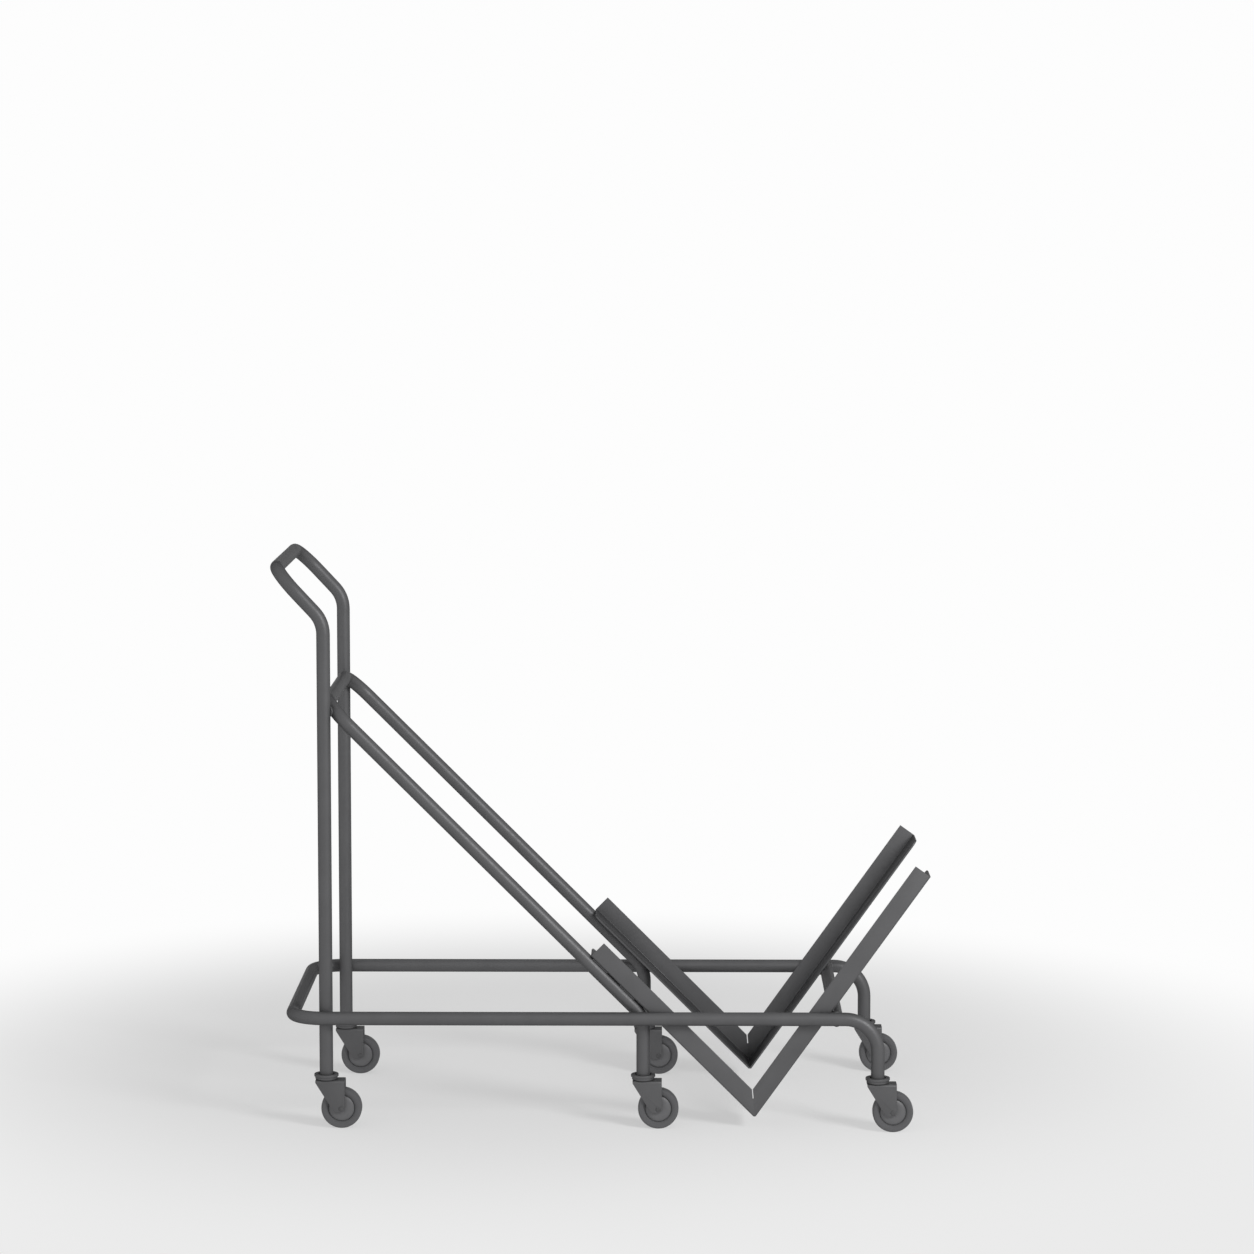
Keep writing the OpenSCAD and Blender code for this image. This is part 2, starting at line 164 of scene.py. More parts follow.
class TrolleyCaster(bpy.types.PropertyGroup):
    """Turned shapes of the casters"""

    turn_steps: IntProperty(
        name="Turn steps", description="Steps round a wheel or race", min=24, max=256, default=112)
    shoulder: length("Tyre shoulder", "Rounding of a tyre's shoulders", 5.4, 0, 10)
    side_roll: length(
        "Side roll", "Width of the rolled-in part of a tyre's side, next to the core", 6.2, 1, 7)
    side_fall: length("Side fall", "How far a tyre's side falls over that width", 2.4, 0, 4)
    mould_line: length("Mould line", "Height of the parting line round a tyre's tread", 0.15, 0, 1)
    mould_line_width: length("Mould line width", "Half the width of that line at its foot", 0.5, 0.1, 2)
    tyre_fit: length("Tyre fit", "Gap between a tyre's bore and the CAD core's rim", 0.05, 0, 0.5)
    core_fit: length("Core fit", "How far a core's rim lies inside the CAD core's rim", 0.02, 0, 0.5)
    core_bore: length("Core bore", "Radius of a core's hole for the bush", 5.05, 4, 8)
    core_steps: IntProperty(
        name="Core steps", description="Steps across a core's domed face", min=3, max=64, default=12)
    rim_groove: length("Rim groove", "Width of the groove between a tyre and its core", 1.3, 0, 4)
    hub: length("Hub radius", "Radius at which a core's raised hub ends", 9, 6, 15)
    hub_step: length("Hub step", "Height of that hub above the core's domed face", 0.5, 0, 2)
    core_fall: length("Core fall", "How far a core's domed face falls from its hub to its rim", 3, 0, 8)
    core_power: FloatProperty(
        name="Core power", description="Power of the curve by which it falls, steepest at the rim",
        min=1, max=8, default=3.5)
    race_lip: length("Race lip", "Height of the lip round the top of an upper race", 4.8, 0, 6)
    race_lip_step: length("Race lip step", "Step in from that lip to the wall below it", 1.8, 0, 2.5)
    race_wall: length("Race wall", "Thickness of that wall", 2.2, 1, 3)
    race_recess: length("Race recess", "Depth of the recess that takes the tube's end", 3, 0, 3.5)
    race_recess_gap: length(
        "Race recess gap", "Gap between the tube and the wall of that recess", 2.5, 1, 4)
    race_rounding: length("Race rounding", "Rounding of an upper race's edges", 0.8, 0, 2)


class TrolleyWelds(bpy.types.PropertyGroup):
    """Weld beads under the coat"""

    bead_radius: length("Bead radius", "Half the thickness of a weld bead", 1.8, 0.5, 4)
    bead_offset: length(
        "Bead offset", "Distance of a bead from the line where two pieces touch", 7, 2, 11)
    ring_radius: length(
        "Ring radius", "Radius of the weld round the point where two tubes touch", 8, 2, 11)
    ripple_pitch: length("Ripple pitch", "Distance between two ripples of a bead", 2.2, 0.5, 6)
    ripple_share: FloatProperty(
        name="Ripple share", description="Height of the ripples as a share of the bead's radius",
        subtype="FACTOR", min=0, max=0.5, default=0.07)
    end_share: FloatProperty(
        name="End share", description="Radius of a bead's ends as a share of the bead's radius",
        subtype="FACTOR", min=0.1, max=1, default=0.4)
    seam_radius: length(
        "Seam radius", "Half the thickness of the dressed seam at a cradle's corner", 0.9, 0.3, 3)
    seam_proud: length("Seam stand-off", "How far the dressed seam stands above the sheet", 0.08, 0, 1)


class TrolleyStage(bpy.types.PropertyGroup):
    """Camera, floor and lights"""

    camera_place: FloatVectorProperty(
        name="Camera place", description="Place of the camera", subtype="TRANSLATION", unit="LENGTH",
        size=3, default=(0.11888, -7.59786, 1.71100))
    camera_yaw: FloatProperty(
        name="Camera yaw", subtype="ANGLE", default=-0.0094,
        description="Turn of the camera from straight ahead, to the front of the trolley")
    camera_pitch: FloatProperty(
        name="Camera pitch", description="Tilt of the camera below level", subtype="ANGLE",
        default=0.1056)
    camera_lens: FloatProperty(
        name="Lens", description="Focal length on a 36 mm wide sensor", min=10, max=400, default=116.5)
    floor_radius: FloatProperty(
        name="Floor radius", description="Radius of the round floor", subtype="DISTANCE", default=20)
    floor_steps: IntProperty(
        name="Floor steps", description="Steps round the floor's edge", min=12, max=512, default=128)
    floor_colour: FloatVectorProperty(
        name="Floor colour", description="Pale floor near the trolley",
        subtype="COLOR", size=3, min=0, max=1, default=(0.50, 0.50, 0.50))
    floor_glow: FloatProperty(
        name="Floor glow", description="Share of the floor's brightness that shadows don't take away",
        min=0, max=1, default=0.42)
    fade_middle: FloatVectorProperty(
        name="Fade middle", description="Middle of the pale patch of floor", subtype="TRANSLATION",
        unit="LENGTH", size=3, default=(-0.1, 0.45, 0))
    fade_start: FloatProperty(
        name="Fade start", description="Distance from that middle where the floor starts to turn white",
        subtype="DISTANCE", default=0.6)
    fade_end: FloatProperty(
        name="Fade end", description="Distance from that middle where the floor is white",
        subtype="DISTANCE", default=1.7)
    # Painted shade: the white floor in front is drawn greyer round this middle, fading out between the
    # two distances below
    front_shade_middle: FloatVectorProperty(
        name="Front middle", description="Middle of the slightly grey floor in front",
        subtype="TRANSLATION", unit="LENGTH", size=3, default=(0.3, -1.3, 0))
    front_shade_start: FloatProperty(
        name="Front start", description="Distance from that middle where the floor starts to turn white",
        subtype="DISTANCE", default=1.0)
    front_end: FloatProperty(
        name="Front end", description="Distance from that middle where the floor is white",
        subtype="DISTANCE", default=3.0)
    # Painted shade: brightness of that greyer floor in front
    front_shade_level: FloatProperty(
        name="Front level", description="Brightness of the floor in front", min=0, max=1, default=0.83)
    white_level: FloatProperty(
        name="White level", description="Brightness of the background", min=0, max=1, default=0.982)
    horizon_level: FloatProperty(
        name="Horizon level", description="Brightness of the surrounding light near the floor",
        min=0, max=2, default=0.78)
    sky_level: FloatProperty(
        name="Sky level", description="Brightness of the surrounding light overhead",
        min=0, max=2, default=0.12)
    bright_side: FloatVectorProperty(
        name="Bright side", description="Direction from which that light is strongest",
        subtype="DIRECTION", size=3, default=(-0.6, -0.8, 0))
    bright_share: FloatProperty(
        name="Bright share", description="Strength of that light from the bright side",
        min=0, max=3, default=1.8)
    dim_share: FloatProperty(
        name="Dim share", description="Strength of that light from the opposite side",
        min=0, max=3, default=0.5)
    lamp_place: FloatVectorProperty(
        name="Lamp place", description="Place of the lamp, ahead of the trolley and to its right",
        subtype="TRANSLATION", unit="LENGTH", size=3, default=(2.9, -3.2, 2.6))
    lamp_target: FloatVectorProperty(
        name="Lamp target", description="Place that the lamp faces", subtype="TRANSLATION", unit="LENGTH",
        size=3, default=(0.05, 0, 0.4))
    lamp_size: FloatProperty(
        name="Lamp size", description="Width of the round lamp", subtype="DISTANCE", min=0.1, default=1.5)
    lamp_power: FloatProperty(
        name="Lamp power", description="Power of the lamp", unit="POWER", min=0, default=105)


class TrolleySettings(bpy.types.PropertyGroup):
    """All settings of the trolley"""

    finish: PointerProperty(type=TrolleyFinish)
    edges: PointerProperty(type=TrolleyEdges)
    caster: PointerProperty(type=TrolleyCaster)
    welds: PointerProperty(type=TrolleyWelds)
    stage: PointerProperty(type=TrolleyStage)


def settings():
    """Settings of the scene's trolley"""
    return bpy.context.scene.trolley


# Materials


def noise(tree, place, size, detail):
    """Noise whose cells are about size metres wide"""
    node = tree.nodes.new("ShaderNodeTexNoise")
    node.inputs["Scale"].default_value = 1 / size
    node.inputs["Detail"].default_value = detail
    tree.links.new(place, node.inputs["Vector"])
    return node.outputs["Fac"]


def ranged(tree, value, low, high):
    """Noise's usual spread, mapped to low and high"""
    node = tree.nodes.new("ShaderNodeMapRange")
    node.inputs["From Min"].default_value = NOISE_LOW
    node.inputs["From Max"].default_value = NOISE_HIGH
    node.inputs["To Min"].default_value = low
    node.inputs["To Max"].default_value = high
    tree.links.new(value, node.inputs["Value"])
    return node.outputs["Result"]


def tinted(tree, factor, dark, light):
    """Colour between dark and light"""
    node = tree.nodes.new("ShaderNodeMix")
    node.data_type = "RGBA"
    colour_in = [i for i in node.inputs if i.type == "RGBA"]
    colour_in[0].default_value = (*dark, 1)
    colour_in[1].default_value = (*light, 1)
    tree.links.new(factor, node.inputs[0])
    return [o for o in node.outputs if o.type == "RGBA"][0]


def finish_material(name, colour, spread, cloud, roughness, rough_spread, grain, grain_depth,
                    gloss=0.5, metallic=0.0, edge_tint=1.0, stretch=(1, 1, 1)):
    """Material with clouded colour, uneven roughness and a fine raised grain"""
    made = bpy.data.materials.get(name)
    if made:
        return made
    made = bpy.data.materials.new(name)
    made.use_nodes = True
    tree = made.node_tree
    shader = tree.nodes["Principled BSDF"]
    mapping = tree.nodes.new("ShaderNodeMapping")
    mapping.inputs["Scale"].default_value = stretch
    tree.links.new(tree.nodes.new("ShaderNodeTexCoord").outputs["Object"], mapping.inputs["Vector"])
    place = mapping.outputs["Vector"]
    shade = ranged(tree, noise(tree, place, cloud, detail=4), 0, 1)
    dark = [c * (1 - spread) for c in colour]
    light = [c * (1 + spread) for c in colour]
    tree.links.new(tinted(tree, shade, dark, light), shader.inputs["Base Color"])
    patches = noise(tree, place, cloud / ROUGH_PATCHES, detail=3)
    rough = ranged(tree, patches, roughness - rough_spread, roughness + rough_spread)
    tree.links.new(rough, shader.inputs["Roughness"])
    bump = tree.nodes.new("ShaderNodeBump")
    bump.inputs["Strength"].default_value = 1
    bump.inputs["Distance"].default_value = grain_depth
    tree.links.new(noise(tree, place, grain, detail=2), bump.inputs["Height"])
    tree.links.new(bump.outputs["Normal"], shader.inputs["Normal"])
    shader.inputs["Specular IOR Level"].default_value = gloss
    shader.inputs["Metallic"].default_value = metallic
    shader.inputs["Specular Tint"].default_value = (edge_tint, edge_tint, edge_tint, 1)
    return made


def coat():
    """Powder coat of the frame, cradles, forks and welds"""
    f = settings().finish
    return finish_material("powder_coat", f.coat_colour, spread=0.045, cloud=45 * MM,
                           roughness=f.coat_roughness, rough_spread=0.045, grain=f.peel_size,
                           grain_depth=f.peel_depth, gloss=f.coat_gloss, metallic=f.coat_metal,
                           edge_tint=f.coat_edge)


def tyre_rubber():
    """Smooth rubber of the tyres"""
    f = settings().finish
    return finish_material("tyre_rubber", f.tyre_colour, spread=0.08, cloud=14 * MM, roughness=0.58,
                           rough_spread=0.06, grain=0.5 * MM, grain_depth=0.03 * MM, gloss=0.3)


def core_plastic():
    """Moulded plastic of the wheel cores"""
    f = settings().finish
    return finish_material("core_plastic", f.core_colour, spread=0.04, cloud=18 * MM, roughness=0.42,
                           rough_spread=0.05, grain=0.35 * MM, grain_depth=0.02 * MM, gloss=0.4)


def rivet_steel():
    """Dark, dull finish of the axle rivets, made darker than the coat partly as painted shade round their
    heads
    """
    f = settings().finish
    return finish_material("rivet_steel", f.rivet_colour, spread=0.15, cloud=3 * MM, roughness=0.6,
                           rough_spread=0.08, grain=0.4 * MM, grain_depth=0.02 * MM, gloss=0.08)


def plated_steel():
    """Plated steel of the stems, balls and bushes"""
    f = settings().finish
    return finish_material("plated_steel", f.steel_colour, spread=0.07, cloud=6 * MM, roughness=0.3,
                           rough_spread=0.07, grain=0.25 * MM, grain_depth=0.008 * MM, metallic=1.0,
                           stretch=(1, 1, 5))


def sleeve_plastic():
    """Moulded plastic of the stem sleeves"""
    f = settings().finish
    return finish_material("sleeve_plastic", f.sleeve_colour, spread=0.1, cloud=8 * MM, roughness=0.5,
                           rough_spread=0.06, grain=0.4 * MM, grain_depth=0.02 * MM)


# Meshes


def add_piece(name, mesh, material, body, replaces=(), smooth=30):
    """A finished piece at the origin, which rides on a CAD body"""
    for attribute in [a.name for a in mesh.attributes if a.name == "custom_normal"]:
        mesh.attributes.remove(mesh.attributes[attribute])
    mesh.materials.clear()
    mesh.materials.append(material)
    mesh.shade_smooth()
    mesh.set_sharp_from_angle(angle=math.radians(smooth))
    made = bpy.data.objects.new(name, mesh)
    bpy.context.scene.collection.objects.link(made)
    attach(made, body)
    if replaces:
        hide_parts(*replaces)


def mesh_of(bm, name):
    """Closes a bmesh's seams, turns its faces outwards and makes it a mesh"""
    bmesh.ops.remove_doubles(bm, verts=bm.verts, dist=MERGE)
    bmesh.ops.recalc_face_normals(bm, faces=bm.faces)
    mesh = bpy.data.meshes.new(name)
    bm.to_mesh(mesh)
    bm.free()
    return mesh


def eased_copy(node, width, angle):
    """Merged copy of a CAD node with its outer edges eased"""
    bm = bmesh.new()
    bm.from_mesh(frame["nodes"][node].data)
    bmesh.ops.remove_doubles(bm, verts=bm.verts, dist=MERGE)
    bmesh.ops.dissolve_limit(bm, angle_limit=FLAT_ANGLE, use_dissolve_boundaries=False,
                             verts=bm.verts, edges=bm.edges)
    sharp = [e for e in bm.edges if e.is_manifold and e.is_convex and e.calc_face_angle() > angle]
    bmesh.ops.bevel(bm, geom=sharp, offset=width, offset_type="OFFSET", segments=EASE_STEPS, profile=0.5,
                    affect="EDGES", clamp_overlap=True, material=-1)
    return bm


def turned(bm, profile, rounding, steps, closed, turn_to):
    """Spins a profile of (radius, height) corners and turns it to its place

    The rounding gives the radii of the corners that are rounded, by their place in the profile.
    """
    part = bmesh.new()
    corners = [part.verts.new((radius, 0, height)) for radius, height in profile]
    ends = corners[1:] + (corners[:1] if closed else [])
    for start, end in zip(corners, ends):
        part.edges.new((start, end))
    for index, radius in rounding.items():
        bmesh.ops.bevel(part, geom=[corners[index]], offset=radius, offset_type="OFFSET",
                        segments=ROUNDING_STEPS, profile=0.5, affect="VERTICES", clamp_overlap=True,
                        material=-1)
    bmesh.ops.spin(part, geom=part.verts[:] + part.edges[:], cent=(0, 0, 0), axis=(0, 0, 1),
                   dvec=(0, 0, 0), angle=2 * math.pi, steps=steps, use_merge=True,
                   use_normal_flip=False, use_duplicate=False)
    bmesh.ops.transform(part, matrix=turn_to, verts=part.verts)
    mesh = mesh_of(part, "turned")
    bm.from_mesh(mesh)
    bpy.data.meshes.remove(mesh)


def on_axle(name):
    """Turns a shape made round Z to stand round a wheel's axle"""
    return Matrix.Translation(JOINT_AT[name + "_roll"]) @ Matrix.Rotation(math.pi / 2, 4, "X")


def mirrored(half):
    """Profile of a shape that is the same on both sides, from the profile of its upper half"""
    return half + [(radius, -height) for radius, height in reversed(half)]


# Weld beads


def line_path(start, end, pitch):
    """Straight line in steps of about a pitch"""
    steps = max(4, round((end - start).length / pitch))
    return [start.lerp(end, i / steps) for i in range(steps + 1)]


def ring_path(centre, axis, radius, pitch):
    """Circle round an axis"""
    turn = axis.to_track_quat("Z", "Y").to_matrix()
    steps = round(2 * math.pi * radius / pitch)
    return [centre + turn @ Vector((radius * math.cos(2 * math.pi * i / steps),
                                    radius * math.sin(2 * math.pi * i / steps), 0))
            for i in range(steps)]


def saddle_path(side, pitch):
    """Curve where the cross tube's end meets a rail"""
    steps = round(2 * math.pi * TUBE_R / pitch)
    points = []
    for i in range(steps):
        a = 2 * math.pi * i / steps
        rise = TUBE_R * math.sin(a)
        reach = math.sqrt(max(0, TUBE_R ** 2 - rise ** 2))
        points.append(Vector((CROSS_X + TUBE_R * math.cos(a), side * (RAIL_Y - reach), RAIL_Z + rise)))
    return points


def weld_piece(name, beads):
    """Rippled beads along paths, as one piece on the frame; each bead is (points, radius, closed)"""
    w = settings().welds
    curve = bpy.data.curves.new(name, "CURVE")
    curve.dimensions = "3D"
    # At a depth of 1 the radius of a point is the bead's own, in metres
    curve.bevel_depth = 1
    curve.bevel_resolution = BEAD_RESOLUTION
    curve.use_fill_caps = True
    for points, radius, closed in beads:
        spline = curve.splines.new("POLY")
        spline.points.add(len(points) - 1)
        spline.use_cyclic_u = closed
        run = [0.0]
        for a, b in zip(points, points[1:]):
            run.append(run[-1] + (b - a).length)
        for point, place, along in zip(spline.points, points, run):
            ripple = 1 + w.ripple_share * math.sin(2 * math.pi * along / w.ripple_pitch)
            taper = 1 if closed else min(1, w.end_share + min(along, run[-1] - along) / radius)
            point.co = (*place, 1)
            point.radius = radius * ripple * taper
    drawn = bpy.data.objects.new(name + "_path", curve)
    bpy.context.scene.collection.objects.link(drawn)
    graph = bpy.context.evaluated_depsgraph_get()
    swept = bpy.data.meshes.new_from_object(drawn.evaluated_get(graph))
    bpy.data.objects.remove(drawn)
    bpy.data.curves.remove(curve)
    bm = bmesh.new()
    bm.from_mesh(swept)
    bpy.data.meshes.remove(swept)
    add_piece(name, mesh_of(bm, name), coat(), "frame", smooth=60)


def bead_pitch():
    """Distance between two points of a bead's path, four to a ripple"""
    return settings().welds.ripple_pitch / 4


# Operators


class TROLLEY_OT_coat_tubes(bpy.types.Operator):
    """Gives the frame tubes their powder coat"""

    bl_idname = "trolley.coat_tubes"
    bl_label = "Coat frame tubes"

    def execute(self, context):
        for node in TUBES:
            mesh = frame["nodes"][node].data
            mesh.materials.clear()
            mesh.materials.append(coat())
        return {"FINISHED"}


class TROLLEY_OT_cradle_arms(bpy.types.Operator):
    """Makes the cradle arms with eased sheet edges"""

    bl_idname = "trolley.cradle_arms"
    bl_label = "Cradle arms"

    def execute(self, context):
        edges = settings().edges
        for node in ARMS:
            bm = eased_copy(node, edges.sheet_edge, edges.sharp_angle)
            add_piece(node + "_sheet", mesh_of(bm, node + "_sheet"), coat(), "frame",
                      [node])
        return {"FINISHED"}


class TROLLEY_OT_forks(bpy.types.Operator):
    """Makes the caster forks with eased sheet edges"""

    bl_idname = "trolley.forks"
    bl_label = "Caster forks"

    def execute(self, context):
        edges = settings().edges
        for name in CASTERS:
            node = name + "_fork"
            bm = eased_copy(node, edges.fork_edge, edges.sharp_angle)
            add_piece(node + "_pressing", mesh_of(bm, node), coat(), name + "_caster",
                      [node])
        return {"FINISHED"}


class TROLLEY_OT_upper_races(bpy.types.Operator):
    """Turns the upper races that hold the casters to the legs"""

    bl_idname = "trolley.upper_races"
    bl_label = "Upper races"

    bore: length("Bore", "Radius of the hole for the stem", 5.55)
    roof_rise: length("Roof rise", "Height of a race's roof above its lower edge", 1.5)
    ball_ring: length("Ball ring", "Radius of the ring of balls", 11.5)
    groove_reach: FloatVectorProperty(
        name="Groove reach", description="Half the groove's width at its mouth and part way down",
        subtype="XYZ", unit="LENGTH", size=2, default=(2.55 * MM, 1.65 * MM))
    groove_depth: FloatVectorProperty(
        name="Groove depth", description="Depth of the balls' groove part way down and at its middle",
        subtype="XYZ", unit="LENGTH", size=2, default=(1.6 * MM, 2.2 * MM))

    def execute(self, context):
        c = settings().caster
        low, high = RACE_LOW.z, RACE_HIGH.z
        rim = RACE_HIGH.y - RAIL_Y
        wall = rim - c.race_lip_step
        lip = high - c.race_lip
        seat = high - c.race_recess
        recess, inside = TUBE_R + c.race_recess_gap, wall - c.race_wall
        bore, ring, roof = self.bore, self.ball_ring, low + self.roof_rise
        mouth, flank = self.groove_reach
        part_way, deepest = [roof + depth for depth in self.groove_depth]
        profile = [
            (bore, roof), (ring - mouth, roof), (ring - flank, part_way), (ring, deepest),
            (ring + flank, part_way), (ring + mouth, roof), (inside, roof), (inside, low), (wall, low),
            (wall, lip), (rim, lip), (rim, high), (recess, high), (recess, seat), (bore, seat),
        ]
        edge = c.race_rounding
        rounding = {7: edge / 2, 8: edge, 9: edge / 2, 10: edge, 11: edge, 12: edge / 2}
        bm = bmesh.new()
        for name in CASTERS:
            swivel = JOINT_AT[name + "_swivel"]
            turned(bm, profile, rounding, c.turn_steps, True, Matrix.Translation((swivel.x, swivel.y, 0)))
        add_piece("upper_race_cups", mesh_of(bm, "upper_race_cups"), coat(), "frame",
                  ["upper_races"], smooth=35)
        return {"FINISHED"}


class TROLLEY_OT_wheels(bpy.types.Operator):
    """Turns the tyres and the wheel cores"""

    bl_idname = "trolley.wheels"
    bl_label = "Wheels"

    def execute(self, context):
        c = settings().caster
        for name in CASTERS:
            low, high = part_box(name + "_tyre")
            tread, half = (high.z - low.z) / 2, (high.y - low.y) / 2
            core_low, core_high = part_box(name + "_wheel_core")
            rim, crown = (core_high.z - core_low.z) / 2, (core_high.y - core_low.y) / 2
            self.add_tyre(name, c, rim, tread, half)
            self.add_core(name, c, rim, crown)
        return {"FINISHED"}

    def add_tyre(self, name, c, rim, tread, half):
        """Tyre with rounded shoulders, rolled sides and a mould line"""
        line = c.mould_line_width
        bore = rim + c.tyre_fit
        flat = tread - c.mould_line
        lip = bore + c.rim_groove / 2
        profile = mirrored([
            (bore, half - c.side_fall - c.rim_groove), (lip, half - c.side_fall),
            (lip + c.side_roll / 2, half - c.side_fall / 4), (lip + c.side_roll, half), (flat, half),
            (flat, line), (tread, line / 3),
        ])
        last = len(profile) - 1
        rounding = {2: c.side_roll / 4, 3: c.side_roll / 4, 4: c.shoulder}
        rounding.update({last - i: radius for i, radius in rounding.items()})
        bm = bmesh.new()
        turned(bm, profile, rounding, c.turn_steps, True, on_axle(name))
        add_piece(name + "_tyre_ring", mesh_of(bm, name), tyre_rubber(), name + "_wheel",
                  [name + "_tyre"], smooth=35)

    def add_core(self, name, c, rim, crown):
        """Core with a raised hub and a domed face on each side"""
        edge = rim - c.core_fit
        foot = edge - c.rim_groove / 2
        top = crown - c.hub_step
        shares = [i / c.core_steps for i in range(c.core_steps + 1)]
        face = [(c.hub + (foot - c.hub) * share, top - c.core_fall * share ** c.core_power)
                for share in shares]
        profile = mirrored([(c.core_bore, crown), (c.hub - c.hub_step, crown), *face,
                            (edge, top - c.core_fall - c.rim_groove)])
        bm = bmesh.new()
        turned(bm, profile, {}, c.turn_steps, True, on_axle(name))
        add_piece(name + "_core_disc", mesh_of(bm, name), core_plastic(), name + "_wheel",
                  [name + "_wheel_core"], smooth=35)


class TROLLEY_OT_axles(bpy.types.Operator):
    """Turns the axle rivets with their flat heads"""

    bl_idname = "trolley.axles"
    bl_label = "Axle rivets"

    shank: length("Shank", "Radius of a rivet's shank", 3)
    head_height: length("Head height", "Height of a rivet's heads", 1.3)
    rim_height: length("Rim height", "Height of the straight rim round a head", 0.35)
    crown_share: FloatProperty(
        name="Crown share", description="Radius of a head's flat crown as a share of the head's radius",
        subtype="FACTOR", default=0.62)
    crown_rounding: length("Crown rounding", "Rounding of the crown's edge", 0.8)
    rim_rounding: length("Rim rounding", "Rounding of the rim's edge", 0.3)
    turn_steps: IntProperty(name="Turn steps", description="Steps round a rivet", default=48)

    def execute(self, context):
        for name in CASTERS:
            low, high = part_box(name + "_axle")
            end = (high.y - low.y) / 2
            head, seat = (high.z - low.z) / 2, end - self.head_height
            profile = mirrored([
                (0, end), (self.crown_share * head, end), (head, seat + self.rim_height), (head, seat),
                (self.shank, seat),
            ])
            last = len(profile) - 1
            rounding = {1: self.crown_rounding, 2: self.rim_rounding}
            rounding.update({last - i: radius for i, radius in rounding.items()})
            bm = bmesh.new()
            turned(bm, profile, rounding, self.turn_steps, False, on_axle(name))
            add_piece(name + "_axle_rivet", mesh_of(bm, name), rivet_steel(), name + "_caster",
                      [name + "_axle"], smooth=35)
        return {"FINISHED"}


class TROLLEY_OT_hardware(bpy.types.Operator):
    """Gives the stems, sleeves, balls and bushes their finishes"""

    bl_idname = "trolley.hardware"
    bl_label = "Swivel hardware"

    def execute(self, context):
        finishes = {"caster_stems": plated_steel(), "stem_sleeves": sleeve_plastic()}
        for name in CASTERS:
            finishes[name + "_swivel_balls"] = plated_steel()
            finishes[name + "_wheel_bush"] = plated_steel()
        for node, material in finishes.items():
            mesh = frame["nodes"][node].data
            mesh.materials.clear()
            mesh.materials.append(material)
        return {"FINISHED"}


class TROLLEY_OT_tube_welds(bpy.types.Operator):
    """Welds the tubes to each other where they touch"""

    bl_idname = "trolley.tube_welds"
    bl_label = "Tube welds"

    slope_angle: FloatProperty(
        name="Slope angle", description="Angle of the slope tube's legs", subtype="ANGLE",
        default=math.pi / 4)
    bend_radius: length("Bend radius", "Centre-line radius of the tube bends", 60)
    bend_bead: FloatProperty(
        name="Bend bead", default=1.25,
        description="Radius of the beads at the slope tube's bends, as a share of the others")

    def execute(self, context):
        w = settings().welds
        pitch = bead_pitch()
        beads = []
        for name in CASTERS:
            place = JOINT_AT[name + "_swivel"]
            if abs(place.y) < RAIL_Y - TUBE_R:
                side = math.copysign(1, place.y)
                touch = Vector((place.x, side * (abs(place.y) + RAIL_Y) / 2, RAIL_Z))
                ring = ring_path(touch, Vector((0, 1, 0)), w.ring_radius, pitch)
                beads.append((ring, w.bead_radius, True))
        for name in UPRIGHTS:
            touch, across = self.slope_touch(JOINT_AT[name + "_swivel"])
            ring = ring_path(touch, across, w.ring_radius, pitch)
            beads.append((ring, self.bend_bead * w.bead_radius, True))
        for side in (-1, 1):
            beads.append((saddle_path(side, pitch), w.bead_radius, True))
        weld_piece("tube_weld_beads", beads)
        return {"FINISHED"}

    def slope_touch(self, upright):
        """Point where the slope tube's corner bend touches an upright, and the way across it"""
        bar = Vector((SLOPE_LOW.x + TUBE_R, 0, SLOPE_HIGH.z - TUBE_R))
        gaps = []
        for degrees in range(91):
            a = math.radians(degrees)
            drop = self.bend_radius * (1 - math.sin(a))
            ahead = bar.x - upright.x + drop * math.cos(self.slope_angle)
            inward = self.bend_radius * (1 - math.cos(a))
            gaps.append((math.hypot(ahead, inward), ahead, inward, drop))
        ahead, inward, drop = min(gaps)[1:]
        across = Vector((ahead, -math.copysign(inward, upright.y), 0))
        touch = Vector((upright.x, upright.y, bar.z - drop * math.sin(self.slope_angle))) + across / 2
        return touch, across.normalized()


